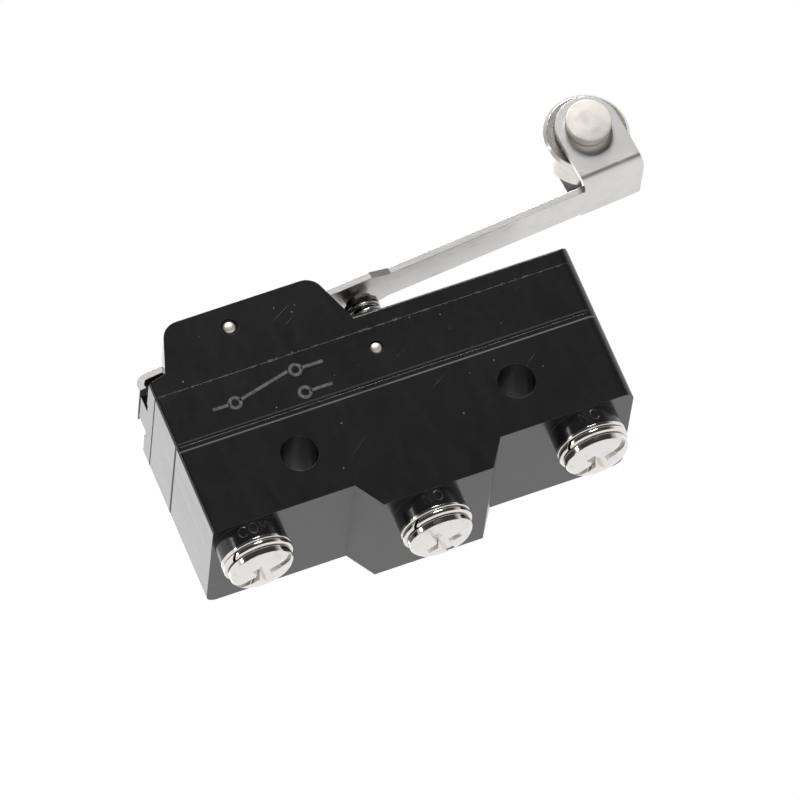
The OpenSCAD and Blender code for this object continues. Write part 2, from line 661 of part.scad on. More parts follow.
case_base();
cover();
lever_housing();
hinge_pin();
housing_pin();
lever();
roller_pin();
roller();
plunger();
return_spring();
snap_blade();
moving_contact();
spring_anchor();
com_terminal();
no_terminal();
nc_terminal();
no_contact();
nc_contact();
terminal_screw(com_x, z_side);  // com_screw
terminal_screw(no_x, z_step);  // no_screw
terminal_screw(nc_x, z_side);  // nc_screw
lock_washer(com_x, z_side);  // com_lock_washer
lock_washer(no_x, z_step);  // no_lock_washer
lock_washer(nc_x, z_side);  // nc_lock_washer
plain_washer(com_x, z_side);  // com_washer
plain_washer(no_x, z_step);  // no_washer
plain_washer(nc_x, z_side);  // nc_washer
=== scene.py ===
"""Snap-action lever switch: finishes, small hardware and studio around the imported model."""
import json
from math import ceil, cos, pi, radians, sin, tan

import bmesh
import bpy
from mathutils import Euler, Matrix, Vector

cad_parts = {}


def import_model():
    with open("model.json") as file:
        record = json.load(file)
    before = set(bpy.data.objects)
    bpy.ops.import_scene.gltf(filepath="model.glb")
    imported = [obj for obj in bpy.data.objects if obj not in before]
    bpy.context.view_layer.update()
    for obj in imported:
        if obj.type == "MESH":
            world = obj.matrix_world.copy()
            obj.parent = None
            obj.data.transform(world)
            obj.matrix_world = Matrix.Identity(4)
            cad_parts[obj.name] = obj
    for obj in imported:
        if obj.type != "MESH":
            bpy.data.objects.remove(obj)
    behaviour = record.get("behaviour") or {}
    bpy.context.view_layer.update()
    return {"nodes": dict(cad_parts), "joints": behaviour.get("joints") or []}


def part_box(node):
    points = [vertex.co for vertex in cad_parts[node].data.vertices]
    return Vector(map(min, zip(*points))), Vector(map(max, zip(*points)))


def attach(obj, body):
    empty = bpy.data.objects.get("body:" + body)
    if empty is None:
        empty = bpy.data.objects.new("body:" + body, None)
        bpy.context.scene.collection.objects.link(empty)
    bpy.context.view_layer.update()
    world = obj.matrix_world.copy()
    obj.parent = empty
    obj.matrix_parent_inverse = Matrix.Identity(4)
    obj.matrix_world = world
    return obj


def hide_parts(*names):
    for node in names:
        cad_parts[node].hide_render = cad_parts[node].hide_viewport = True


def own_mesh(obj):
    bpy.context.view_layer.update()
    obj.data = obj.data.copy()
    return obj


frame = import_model()

MM = 0.001


# ---- node trees written as expressions ----

class Wire:
    """An output socket; arithmetic on it adds Math nodes to its tree."""

    def __init__(self, tree, socket):
        self.tree = tree
        self.socket = socket

    def math(self, operation, *values):
        inputs = dict(enumerate(values))
        return self.tree.node("ShaderNodeMath", {"operation": operation}, inputs)

    def __add__(self, other):
        return self.math("ADD", self, other)

    def __sub__(self, other):
        return self.math("SUBTRACT", self, other)

    def __rsub__(self, other):
        return self.math("SUBTRACT", other, self)

    def __mul__(self, other):
        return self.math("MULTIPLY", self, other)

    __radd__ = __add__
    __rmul__ = __mul__

    def larger(self, other):
        return self.math("MAXIMUM", self, other)

    def sine(self):
        return self.math("SINE", self)


class Tree:
    """A node tree with the few nodes that the finishes share."""

    def __init__(self, tree):
        self.tree = tree
        tree.nodes.clear()

    def node(self, kind, settings=None, inputs=None, out=0):
        made = self.tree.nodes.new(kind)
        for name, value in (settings or {}).items():
            setattr(made, name, value)
        for key, value in (inputs or {}).items():
            if isinstance(value, Wire):
                self.tree.links.new(value.socket, made.inputs[key])
            else:
                made.inputs[key].default_value = value
        return Wire(self, made.outputs[out])

    def millimetres(self):
        """Places on the object in millimetres, in the shared frame at rest."""
        place = self.node("ShaderNodeTexCoord", out="Object")
        return self.node("ShaderNodeVectorMath", {"operation": "SCALE"}, {0: place, "Scale": 1 / MM})

    def stretched(self, place, factors):
        return self.node("ShaderNodeVectorMath", {"operation": "MULTIPLY"}, {0: place, 1: factors})

    def turned(self, place, centre, angle):
        """Places about a centre, turned about Y, for grain that runs along a slanting piece."""
        inputs = {"Vector": place, "Center": centre, "Angle": angle}
        return self.node("ShaderNodeVectorRotate", {"rotation_type": "Y_AXIS"}, inputs)

    def noise(self, place, scale, detail=2.0, roughness=0.5, distortion=0.0):
        inputs = {"Vector": place, "Scale": scale, "Detail": detail, "Roughness": roughness,
                  "Distortion": distortion}
        return self.node("ShaderNodeTexNoise", {"noise_dimensions": "3D"}, inputs)

    def cells(self, place, scale):
        """Distance to the nearest of scattered points."""
        inputs = {"Vector": place, "Scale": scale}
        return self.node("ShaderNodeTexVoronoi", {"feature": "F1"}, inputs, "Distance")

    def fade(self, value, start, end, low=0.0, high=1.0):
        inputs = {0: value, 1: start, 2: end, 3: low, 4: high}
        return self.node("ShaderNodeMapRange", {"interpolation_type": "SMOOTHSTEP"}, inputs)

    def part(self, vector, axis):
        return self.node("ShaderNodeSeparateXYZ", inputs={0: vector}, out=axis)

    def radius(self, place, centre, across=(1, 0, 1)):
        """Distance from an axis through the centre."""
        arm = self.node("ShaderNodeVectorMath", {"operation": "SUBTRACT"}, {0: place, 1: centre})
        flat = self.stretched(arm, across)
        return self.node("ShaderNodeVectorMath", {"operation": "LENGTH"}, {0: flat}, "Value")

    def mix(self, factor, first, second):
        """Blend of two colours."""
        inputs = {0: factor, 6: as_colour(first), 7: as_colour(second)}
        return self.node("ShaderNodeMix", {"data_type": "RGBA"}, inputs, 2)

    def distance(self, value, level):
        """How far a value is from a level, either way."""
        apart = value - level
        return apart.math("ABSOLUTE", apart)

    def corner(self, width):
        """Rises towards the piece's sharp edges, out to the given width in millimetres."""
        soft = self.node("ShaderNodeBevel", {"samples": 6}, {"Radius": width * MM})
        flat = self.node("ShaderNodeNewGeometry", out="True Normal")
        same = self.node("ShaderNodeVectorMath", {"operation": "DOT_PRODUCT"}, {0: soft, 1: flat}, "Value")
        return self.fade(same, 0.995, 0.8)

    def soft_edges(self, width):
        return self.node("ShaderNodeBevel", {"samples": 6}, {"Radius": width * MM})

    def bump(self, height, depth, normal=None):
        """Relief of the given depth in millimetres."""
        inputs = {"Height": height, "Distance": depth * MM, "Strength": 1.0}
        if normal:
            inputs["Normal"] = normal
        return self.node("ShaderNodeBump", inputs=inputs)


def as_colour(value):
    return value if isinstance(value, Wire) else (*value, 1)


class Finish(Tree):
    """A material whose shader is set by one call to surface()."""

    def __init__(self, name):
        self.material = bpy.data.materials.new(name)
        self.material.use_nodes = True
        super().__init__(self.material.node_tree)

    def surface(self, colour, roughness, normal=None, metallic=0.0, **plain):
        inputs = {"Base Color": as_colour(colour), "Roughness": roughness, "Metallic": metallic}
        if normal:
            inputs["Normal"] = normal
        for name, value in plain.items():
            inputs[name.replace("_", " ")] = value
        shader = self.node("ShaderNodeBsdfPrincipled", inputs=inputs)
        self.node_out(shader)
        return self.material

    def node_out(self, shader):
        last = self.tree.nodes.new("ShaderNodeOutputMaterial")
        self.tree.links.new(shader.socket, last.inputs["Surface"])


# ---- places that the finishes and the pieces share ----

def joint_of(name):
    return next(j for j in frame["joints"] if j["name"] == name)


hinge = Vector(joint_of("lever_hinge")["pos_m"])
roller_axis = Vector(joint_of("roller_spin")["pos_m"])
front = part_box("case_base")[0].y
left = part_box("case_base")[0].x
spring_lift = 0.00007  # the spring starts this far above the parting line
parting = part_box("return_spring")[0].z - spring_lift
cover_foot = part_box("cover")[0].z
lever_angle = 4.8


# ---- finishes ----

def moulded_black():
    """Glossy black thermoset: flow clouds, hairlines, lint, worn corners, a nicked parting line,
    a dull parting line round the left end, and a painted highlight: a pale line in front at the cover's foot."""
    f = Finish("moulded_black")
    at = f.millimetres()
    clouds = f.noise(at, 0.11, 3, 0.55)
    flow = f.noise(f.stretched(at, (0.5, 0.5, 0.16)), 0.9, 3, 0.6, 0.8)
    grain = f.noise(at, 5.0, 2, 0.6)
    peel = f.noise(at, 0.9, 1, 0.4)
    hair_a = f.noise(f.stretched(f.turned(at, (0, 0, 0), 0.5), (0.12, 1, 9)), 1.3, 1, 0.3)
    hair_b = f.noise(f.stretched(f.turned(at, (0, 0, 0), -0.9), (7, 1, 0.1)), 1.1, 1, 0.3)
    hairs = f.fade(hair_a, 0.76, 0.82).larger(f.fade(hair_b, 0.77, 0.82)) * f.fade(clouds, 0.5, 0.62)
    lint = f.fade(f.cells(at, 0.6), 0.07, 0.04) * f.fade(f.noise(at, 0.5), 0.52, 0.6)
    worn = f.corner(0.12) * f.fade(f.noise(at, 1.4, 3), 0.34, 0.66, 0.2, 1)
    from_parting = f.distance(f.part(at, "Z"), parting / MM)
    near_parting = f.fade(from_parting + 0.5 * f.noise(at, 1.1, 3, 0.6), 0.42, 0.28)
    nick = near_parting * f.fade(f.noise(at, 0.8, 4, 0.7), 0.5, 0.6)
    in_front = f.fade(f.part(at, "Y"), front / MM + 0.5, front / MM + 0.2)
    # painted highlight: a pale line painted on the front face along the cover's foot
    painted_highlight_line = f.fade(f.distance(f.part(at, "Z"), cover_foot / MM), 0.13, 0.04)
    painted_highlight_line = painted_highlight_line * in_front * f.fade(clouds, 0.25, 0.6, 0.5, 1)
    at_left_end = f.fade(f.part(at, "X"), left / MM + 1.1, left / MM + 0.3)
    dull_line = f.fade(from_parting, 0.14, 0.08) * at_left_end
    body = f.mix(f.fade(clouds, 0.3, 0.7), (0.0062, 0.0062, 0.0068), (0.0092, 0.0092, 0.0099))
    body = f.mix(flow * 0.35, body, (0.013, 0.013, 0.0135))
    body = f.mix(hairs * 0.22, body, (0.07, 0.07, 0.07))
    body = f.mix(worn * 0.4, body, (0.06, 0.06, 0.062))
    body = f.mix(nick * 0.6, body, (0.07, 0.07, 0.073))
    body = f.mix(painted_highlight_line * 0.9, body, (0.15, 0.15, 0.155))
    body = f.mix(lint * 0.6, body, (0.2, 0.2, 0.19))
    rough = 0.15 + 0.08 * flow + 0.05 * grain + 0.15 * hairs + 0.12 * worn
    rough = rough + 0.3 * nick + 0.4 * lint + 0.7 * dull_line
    relief = peel + 0.06 * grain - 0.3 * hairs - 0.6 * nick
    normal = f.bump(relief, 0.008, f.soft_edges(0.05))
    return f.surface(body, rough, normal, IOR=1.53)


def marking_black():
    """The same plastic on the raised letters, a little paler where they are rubbed."""
    f = Finish("marking_black")
    at = f.millimetres()
    grain = f.noise(at, 4.0, 3, 0.6)
    rubbed = f.corner(0.05)
    body = f.mix(rubbed * 0.6 + 0.2 * grain, (0.009, 0.009, 0.0095), (0.04, 0.04, 0.041))
    return f.surface(body, 0.24 + 0.16 * grain, f.bump(grain, 0.004))


def ink_grey():
    """Dull grey pad print with thin spots."""
    f = Finish("ink_grey")
    at = f.millimetres()
    cover = f.noise(at, 2.2, 4, 0.6)
    thin = f.fade(cover, 0.36, 0.6)
    body = f.mix(thin, (0.035, 0.035, 0.034), (0.095, 0.094, 0.088))
    return f.surface(body, 0.42 + 0.15 * cover, f.bump(cover, 0.003))


def lever_sheet():
    """Cold-rolled stainless sheet: grain along the lever, a few rubs, and a painted highlight that makes
    edges and bends brighter.
    """
    f = Finish("lever_sheet")
    at = f.millimetres()
    along = f.turned(at, tuple(hinge / MM), radians(-lever_angle))
    streak = f.noise(f.stretched(along, (0.1, 4.0, 4.0)), 2.2, 4, 0.65)
    fine = f.noise(f.stretched(along, (0.5, 14.0, 14.0)), 2.0, 2, 0.6)
    cloud = f.noise(at, 0.16, 3, 0.5)
    rub = f.fade(f.noise(f.stretched(along, (0.35, 1.6, 1.6)), 0.9, 4, 0.7, 0.5), 0.56, 0.7)
    edge = f.corner(0.12)
    body = f.mix(f.fade(cloud, 0.3, 0.7), (0.66, 0.64, 0.625), (0.74, 0.725, 0.715))
    body = f.mix(streak * 0.3, body, (0.56, 0.545, 0.53))
    body = f.mix(rub * 0.25, body, (0.5, 0.485, 0.47))
    # painted highlight: the sheet is painted paler along its sharp edges
    body = f.mix(edge * 0.5, body, (0.82, 0.81, 0.8))
    rough = 0.27 + 0.12 * streak + 0.08 * fine + 0.1 * rub
    normal = f.bump(streak * 0.7 + fine * 0.5, 0.0016, f.soft_edges(0.09))
    return f.surface(body, rough, normal, 1.0)


def turned_roller():
    """Polished steel roller with turning marks round its axis and a worn track on the tread."""
    f = Finish("turned_roller")
    at = f.millimetres()
    centre = tuple(roller_axis / MM)
    ring = f.radius(at, centre)
    wobble = f.noise(at, 1.2, 2)
    turning = (ring * 46 + wobble * 1.5).sine() * 0.5 + 0.5
    tread = f.noise(f.stretched(at, (0.4, 9, 0.4)), 1.6, 3, 0.6)
    faces = f.fade(ring, 4.62, 4.5)
    smudge = f.noise(at, 0.5, 3, 0.6)
    body = f.mix(f.fade(smudge, 0.35, 0.7), (0.76, 0.73, 0.69), (0.68, 0.65, 0.61))
    rough = 0.12 + 0.1 * smudge + 0.08 * tread + faces * 0.06
    normal = f.bump(turning * faces * 0.6 + tread * 0.5 * (1 - faces), 0.0007, f.soft_edges(0.08))
    return f.surface(body, rough, normal, 1.0)


def pin_steel():
    """Drawn steel pins: dull pressed heads with pits, brighter shanks."""
    f = Finish("pin_steel")
    at = f.millimetres()
    cloud = f.noise(at, 0.7, 3, 0.6)
    pit = f.fade(f.cells(at, 2.6), 0.16, 0.08) * f.fade(f.noise(at, 1.1), 0.48, 0.62)
    scuff = f.noise(f.stretched(at, (5, 1, 0.6)), 1.6, 3, 0.6)
    body = f.mix(f.fade(cloud, 0.32, 0.7), (0.66, 0.625, 0.58), (0.76, 0.72, 0.67))
    body = f.mix(pit * 0.5, body, (0.4, 0.37, 0.34))
    rough = 0.34 + 0.14 * cloud + 0.12 * scuff + 0.15 * pit
    return f.surface(body, rough, f.bump(cloud * 0.3 + scuff * 0.4 - pit, 0.004), 1.0)


def bright_nickel(name, warmth):
    """Bright nickel plate, a little orange-peeled, with dull rubs and a painted highlight along its edges."""
    f = Finish(name)
    at = f.millimetres()
    peel = f.noise(at, 1.1, 2, 0.5)
    rub = f.fade(f.noise(at, 0.8, 4, 0.65), 0.52, 0.72)
    edge = f.corner(0.07)
    tint = (0.76 + warmth, 0.745, 0.715 - warmth)
    body = f.mix(rub * 0.5, tint, (0.6, 0.58, 0.55))
    # painted highlight: the plate is painted paler along its sharp edges
    body = f.mix(edge * 0.5, body, (0.86, 0.85, 0.83))
    rough = 0.1 + 0.16 * rub + 0.06 * peel
    return f.surface(body, rough, f.bump(peel, 0.012, f.soft_edges(0.06)), 1.0)


def spring_wire():
    """Bright hard-drawn wire with draw lines."""
    f = Finish("spring_wire")
    at = f.millimetres()
    drawn = f.noise(f.stretched(at, (1, 1, 8)), 3.0, 3, 0.6)
    dull = f.noise(at, 0.9, 3)
    body = f.mix(dull, (0.66, 0.64, 0.61), (0.5, 0.48, 0.46))
    return f.surface(body, 0.18 + 0.16 * drawn, f.bump(drawn, 0.003), 1.0)


def plunger_steel():
    """Dark polished plunger with turning rings."""
    f = Finish("plunger_steel")
    at = f.millimetres()
    ring = f.part(at, "Z")
    turning = (ring * 60).sine() * 0.5 + 0.5
    smear = f.noise(at, 1.3, 3)
    body = f.mix(smear, (0.3, 0.29, 0.28), (0.2, 0.19, 0.185))
    return f.surface(body, 0.14 + 0.14 * smear, f.bump(turning * 0.4 + smear, 0.002), 1.0)


def rolled_strip(name, bright, dark, grain):
    """Rolled copper alloy for the current-carrying pieces: grain along X, faint stains and a painted
    highlight along the edges.
    """
    f = Finish(name)
    at = f.millimetres()
    rolled = f.noise(f.stretched(at, grain), 1.8, 3, 0.6)
    stain = f.fade(f.noise(at, 0.4, 4, 0.6), 0.42, 0.7)
    body = f.mix(stain, bright, dark)
    # painted highlight: the strip is painted paler along its sharp edges
    body = f.mix(f.corner(0.1) * 0.4, body, tuple(min(1, 1.2 * c) for c in bright))
    rough = 0.24 + 0.16 * rolled + 0.1 * stain
    return f.surface(body, rough, f.bump(rolled, 0.003), 1.0)


def contact_silver():
    """Pressed silver contacts with a burnished spot and light tarnish."""
    f = Finish("contact_silver")
    at = f.millimetres()
    tarnish = f.fade(f.noise(at, 1.2, 4, 0.6), 0.45, 0.72)
    grain = f.noise(at, 6.0, 2)
    body = f.mix(tarnish, (0.86, 0.85, 0.83), (0.55, 0.5, 0.43))
    return f.surface(body, 0.2 + 0.2 * tarnish + 0.08 * grain, f.bump(grain, 0.004), 1.0)


def floor_white():
    """Pale studio floor that keeps the object's shadow."""
    f = Finish("floor_white")
    seen = f.node("ShaderNodeLightPath", out="Is Glossy Ray")
    through = f.node("ShaderNodeLightPath", out="Is Transmission Ray")
    tone = f.noise(f.millimetres(), 0.004, 2)
    cloth = f.node("ShaderNodeBsdfDiffuse", inputs={
        "Color": f.mix(tone, (0.9, 0.9, 0.9), (0.94, 0.94, 0.94)), "Roughness": 0.6})
    glow = f.node("ShaderNodeEmission", inputs={"Color": (1, 1, 1, 1), "Strength": 1.0})
    f.node_out(f.node("ShaderNodeMixShader", inputs={0: seen.larger(through), 1: cloth, 2: glow}))
    return f.material


FINISHES = {
    "moulded_black": moulded_black(),
    "marking_black": marking_black(),
    "ink_grey": ink_grey(),
    "lever_sheet": lever_sheet(),
    "turned_roller": turned_roller(),
    "pin_steel": pin_steel(),
    "screw_nickel": bright_nickel("screw_nickel", 0.0),
    "washer_nickel": bright_nickel("washer_nickel", 0.01),
    "spring_wire": spring_wire(),
    "plunger_steel": plunger_steel(),
    "blade_copper": rolled_strip("blade_copper", (0.8, 0.46, 0.25), (0.6, 0.33, 0.18), (0.3, 6, 3)),
    "terminal_brass": rolled_strip("terminal_brass", (0.78, 0.6, 0.3), (0.6, 0.44, 0.2), (0.4, 5, 0.8)),
    "anchor_brass": rolled_strip("anchor_brass", (0.66, 0.58, 0.44), (0.5, 0.43, 0.32), (2, 5, 2)),
    "contact_silver": contact_silver(),
}

NODE_FINISH = {
    "case_base": "moulded_black", "cover": "moulded_black", "lever_housing": "moulded_black",
    "hinge_pin": "pin_steel", "housing_pin": "pin_steel", "roller_pin": "pin_steel",
    "lever": "lever_sheet", "roller": "turned_roller", "plunger": "plunger_steel",
    "return_spring": "spring_wire", "snap_blade": "blade_copper", "spring_anchor": "anchor_brass",
    "moving_contact": "contact_silver", "no_contact": "contact_silver", "nc_contact": "contact_silver",
    "com_terminal": "terminal_brass", "no_terminal": "terminal_brass", "nc_terminal": "terminal_brass",
}
for terminal in ("com", "no", "nc"):
    NODE_FINISH[terminal + "_screw"] = "screw_nickel"
    NODE_FINISH[terminal + "_lock_washer"] = "washer_nickel"
    NODE_FINISH[terminal + "_washer"] = "washer_nickel"

for name, finish in NODE_FINISH.items():
    mesh = frame["nodes"][name].data
    mesh.materials.clear()
    mesh.materials.append(FINISHES[finish])


# ---- small hardware and marks ----

def rounded(corners, steps=6):
    """A profile of (across, along, radius) corners with each corner turned into an arc."""
    out = []
    count = len(corners)
    for i, (x, y, radius) in enumerate(corners):
        here = Vector((x, y))
        before = Vector(corners[i - 1][:2]) - here
        after = Vector(corners[(i + 1) % count][:2]) - here
        if radius == 0 or before.length == 0 or after.length == 0:
            out.append(here)
            continue
        half = before.angle(after) / 2
        reach = radius / tan(half)
        start = here + before.normalized() * reach
        end = here + after.normalized() * reach
        centre = here + (before.normalized() + after.normalized()).normalized() * (radius / sin(half))
        a, b = start - centre, end - centre
        out.append(start + before.normalized() * 0.02)
        for k in range(steps + 1):
            out.append(centre + a.lerp(b, k / steps).normalized() * radius)
        out.append(end + after.normalized() * 0.02)
    return out


def circle_section(radius, count=12):
    return [(radius * cos(2 * pi * k / count), radius * sin(2 * pi * k / count)) for k in range(count)]


def skinned(shape, rings, closed=False):
    """Stitches rings of corners into a tube, capped at both ends unless it closes on itself."""
    count = len(rings[0])
    for low, high in zip(rings, rings[1:] + rings[:1] if closed else rings[1:]):
        for k in range(count):
            n = (k + 1) % count
            shape.faces.new((low[k], low[n], high[n], high[k]))
    if not closed:
        shape.faces.new(rings[0][::-1])
        shape.faces.new(rings[-1])
    bmesh.ops.recalc_face_normals(shape, faces=shape.faces)
    return shape


def lathe(profile, count=96, closed=False):
    """Turns a profile of (radius, height) points about Z."""
    shape = bmesh.new()
    rings = []
    for radius, height in profile:
        if radius < 1e-6:
            rings.append([shape.verts.new((0, 0, height))] * count)
        else:
            rings.append([shape.verts.new((x, y, height)) for x, y in circle_section(radius, count)])
    pairs = list(zip(rings, rings[1:])) + ([(rings[-1], rings[0])] if closed else [])
    for low, high in pairs:
        for k in range(count):
            corners = [low[k], low[(k + 1) % count], high[(k + 1) % count], high[k]]
            corners = [c for i, c in enumerate(corners) if c not in corners[:i]]
            if len(corners) > 2:
                shape.faces.new(corners)
    bmesh.ops.recalc_face_normals(shape, faces=shape.faces)
    return shape


def swept(points, section, closed=False):
    """Sweeps a round or other closed section of (side, up) offsets along points."""
    shape = bmesh.new()
    count = len(points)
    side = None
    rings = []
    for i, point in enumerate(points):
        ahead = points[(i + 1) % count] if closed or i + 1 < count else point
        behind = points[i - 1] if closed or i else point
        forward = (ahead - behind).normalized()
        if side is None:
            side = forward.orthogonal().normalized()
        side = (side - forward * side.dot(forward)).normalized()
        up = forward.cross(side)
        rings.append([shape.verts.new(point + side * a + up * b) for a, b in section])
    return skinned(shape, rings, closed)


def joined(*shapes):
    """One mesh of several shapes."""
    whole = bmesh.new()
    for shape in shapes:
        part = bpy.data.meshes.new("part")
        shape.to_mesh(part)
        shape.free()
        whole.from_mesh(part)
        bpy.data.meshes.remove(part)
    return whole


def moved(shape, matrix):
    bmesh.ops.transform(shape, matrix=matrix, verts=shape.verts)
    return shape


def cut(shape, *cutters):
    """The shape with the cutters taken away."""
    objects = []
    for part in (shape, *cutters):
        mesh = bpy.data.meshes.new("part")
        part.to_mesh(mesh)
        part.free()
        objects.append(bpy.data.objects.new("part", mesh))
        bpy.context.scene.collection.objects.link(objects[-1])
    for tool in objects[1:]:
        step = objects[0].modifiers.new("cut", "BOOLEAN")
        step.object = tool
        step.operation = "DIFFERENCE"
        step.solver = "EXACT"
    bpy.context.view_layer.update()
    graph = bpy.context.evaluated_depsgraph_get()
    result = bmesh.new()
    result.from_mesh(objects[0].evaluated_get(graph).to_mesh())
    for part in objects:
        mesh = part.data
        bpy.data.objects.remove(part)
        bpy.data.meshes.remove(mesh)
    return result


def prism(top, bottom, z_top, z_bottom):
    """A block whose top and bottom are (length, width) rectangles."""
    shape = bmesh.new()
    rows = []
    for (length, width), z in ((bottom, z_bottom), (top, z_top)):
        rows.append([shape.verts.new((x * length / 2, y * width / 2, z))
                     for x, y in ((-1, -1), (1, -1), (1, 1), (-1, 1))])
    shape.faces.new(rows[0][::-1])
    shape.faces.new(rows[1])
    for k in range(4):
        n = (k + 1) % 4
        shape.faces.new((rows[0][k], rows[0][n], rows[1][n], rows[1][k]))
    return shape


def add_piece(name, shape, finish, body, node=None, smooth=35):
    """Finished piece in metres from a shape in millimetres, riding on its body."""
    bmesh.ops.scale(shape, vec=(MM, MM, MM), verts=shape.verts)
    mesh = bpy.data.meshes.new(name)
    shape.to_mesh(mesh)
    shape.free()
    for face in mesh.polygons:
        face.use_smooth = True
    mesh.set_sharp_from_angle(angle=radians(smooth))
    mesh.materials.append(FINISHES[finish])
    made = bpy.data.objects.new(name, mesh)
    bpy.context.scene.collection.objects.link(made)
    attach(made, body)
    if node:
        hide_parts(node)
    return made


def mm_box(node):
    low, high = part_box(node)
    return low / MM, high / MM


def helix(radius, z_low, z_high, turns, steps=48, start=0.0, flat=0.0):
    """Points of a coil; the first and last of its turns lie flat over the given share of a turn."""
    total = int(turns * steps)
    points = []
    for k in range(total + 1):
        turn = k / steps
        rise = min(max((turn - flat) / (turns - 2 * flat), 0), 1)
        angle = start + 2 * pi * turn
        points.append(Vector((radius * cos(angle), radius * sin(angle), z_low + (z_high - z_low) * rise)))
    return points


def pan_screw(terminal, turn):
    """Pan-head screw, its underside up, with a through slot, a cross recess and a rolled thread."""
    low, high = mm_box(terminal + "_screw")
    seat = mm_box(terminal + "_lock_washer")[0].z
    centre = (low + high) / 2
    radius = (high.x - low.x) / 2
    head = seat - low.z
    shank = high.z - seat
    core = 1.68
    profile = rounded([
        (0, 0, 0), (radius * 0.55, 0.05, 1.2), (radius * 0.86, 0.2, 0.9), (radius, head * 0.5, 0.5),
        (radius, head - 0.02, 0.12), (core, head, 0), (core, head + shank - 0.5, 0),
        (core * 0.6, head + shank, 0), (0, head + shank, 0)][::-1])[::-1]
    body = lathe([(max(p.x, 0), p.y) for p in profile], 128)
    wing = 0.62 * radius * 2
    slot_depth = 0.8
    cross_depth = 1.25
    slot = prism((9, 0.85), (9, 1.0), slot_depth, -1)
    arms = [prism((1.7, 0.85), (wing, 1.15), cross_depth, -0.1) for _ in range(2)]
    core_hole = prism((1.0, 1.0), (2.2, 2.2), 1.3, -0.1)
    turns = (turn, turn + pi / 2, turn, turn + pi / 4)
    body = cut(body, *(moved(block, Matrix.Rotation(angle, 4, "Z"))
                       for block, angle in zip((slot, *arms, core_hole), turns)))
    thread_pitch = 0.7
    thread = swept(helix(core, head + 0.5, head + shank - 0.6, (shank - 1.1) / thread_pitch),
                   [(-0.28, -0.05), (0.28, -0.05), (0, 0.3)])
    return moved(joined(body, thread), Matrix.Translation((centre.x, centre.y, low.z)))


def split_washer(terminal, gap_angle):
    """Spring lock washer with rounded corners, a slanting split and a slight twist."""
    low, high = mm_box(terminal + "_lock_washer")
    centre = (low + high) / 2
    outer = (high.x - low.x) / 2
    inner = outer - 1.85
    thick = high.z - low.z
    section = rounded([(inner, 0.03, 0.1), (outer, 0.05, 0.24), (outer, thick - 0.05, 0.24),
                       (inner, thick - 0.03, 0.1)])
    shape = bmesh.new()
    rings = []
    steps = 160
    half_gap = radians(3.2)
    slant = radians(14)
    for k in range(steps + 1):
        share = k / steps
        ring = []
        for p in section:
            lean = slant * (p.y / thick - 0.5)
            angle = gap_angle + half_gap + lean + share * (2 * pi - 2 * half_gap)
            lift = 0.05 * (share - 0.5)
            height = min(max(p.y + lift, 0.0), thick)
            ring.append(shape.verts.new((p.x * cos(angle), p.x * sin(angle), height)))
        rings.append(ring)
    return moved(skinned(shape, rings), Matrix.Translation((centre.x, centre.y, low.z)))


def plain_washer(terminal):
    """Thin stamped washer: rolled upper edge, sheared lower edge."""
    low, high = mm_box(terminal + "_washer")
    centre = (low + high) / 2
    outer = (high.x - low.x) / 2
    thick = high.z - low.z
    inner = 2.15
    profile = rounded([(inner, 0, 0.03), (outer, 0, 0.14), (outer, thick, 0.05), (inner, thick, 0.1)])
    shape = lathe([tuple(p) for p in profile], 128, closed=True)
    return moved(shape, Matrix.Translation((centre.x, centre.y, low.z)))


def along_y(shape, x, z):
    """Stands a turned shape along Y, its height 0 at the middle of the case."""
    return moved(shape, Matrix.Translation((x, 0, z)) @ Matrix.Rotation(-pi / 2, 4, "X"))


def cross_pin(node):
    """Steel pin across the case with domed ends, each with a small nick at its foot."""
    low, high = mm_box(node)
    centre = (low + high) / 2
    radius = (high.x - low.x) / 2
    end = high.y
    crown = 0.09
    half = [(0, end + crown), (radius * 0.35, end + crown * 0.86), (radius * 0.65, end + crown * 0.4),
            (radius * 0.84, end - 0.05), (radius * 0.96, end - 0.2), (radius, end - 0.4)]
    profile = half + [(r, -h) for r, h in reversed(half)]
    pin = along_y(lathe(profile, 64), centre.x, centre.z)
    nicks = [moved(prism((0.5, 0.5), (0.5, 0.5), -0.2, 0.2),
                   Matrix.Translation((centre.x + 0.05, y, centre.z - radius * 0.93))) for y in (-end, end)]
    return cut(pin, *nicks)


def roller_rivet():
    """Roller pin: flat head with a small edge radius in front, peened tail behind."""
    low, high = mm_box("roller_pin")
    ear = 4.05
    head = (high.x - low.x) / 2
    profile = rounded([
        (0, low.y, 0), (head * 0.5, low.y + 0.004, 0.3), (head, low.y + 0.03, 0.13), (head, -ear - 0.02, 0.1),
        (1.5, -ear, 0), (1.5, ear, 0), (head * 0.84, ear, 0.08), (head * 0.8, ear + 0.5, 0.3),
        (head * 0.3, high.y, 0.6), (0, high.y, 0)])
    shape = lathe([(max(p.x, 0), p.y) for p in profile], 96)
    return along_y(shape, roller_axis.x / MM, roller_axis.z / MM)


def coil():
    """Return spring of round wire with closed, ground ends."""
    low, high = mm_box("return_spring")
    centre = (low + high) / 2
    wire = 0.25
    radius = (high.x - low.x) / 2 - wire
    points = helix(radius, low.z + wire, high.z - wire, 6, 40, 0.6, 0.7)
    shape = swept(points, circle_section(wire, 14))
    return moved(shape, Matrix.Translation((centre.x, centre.y, 0)))


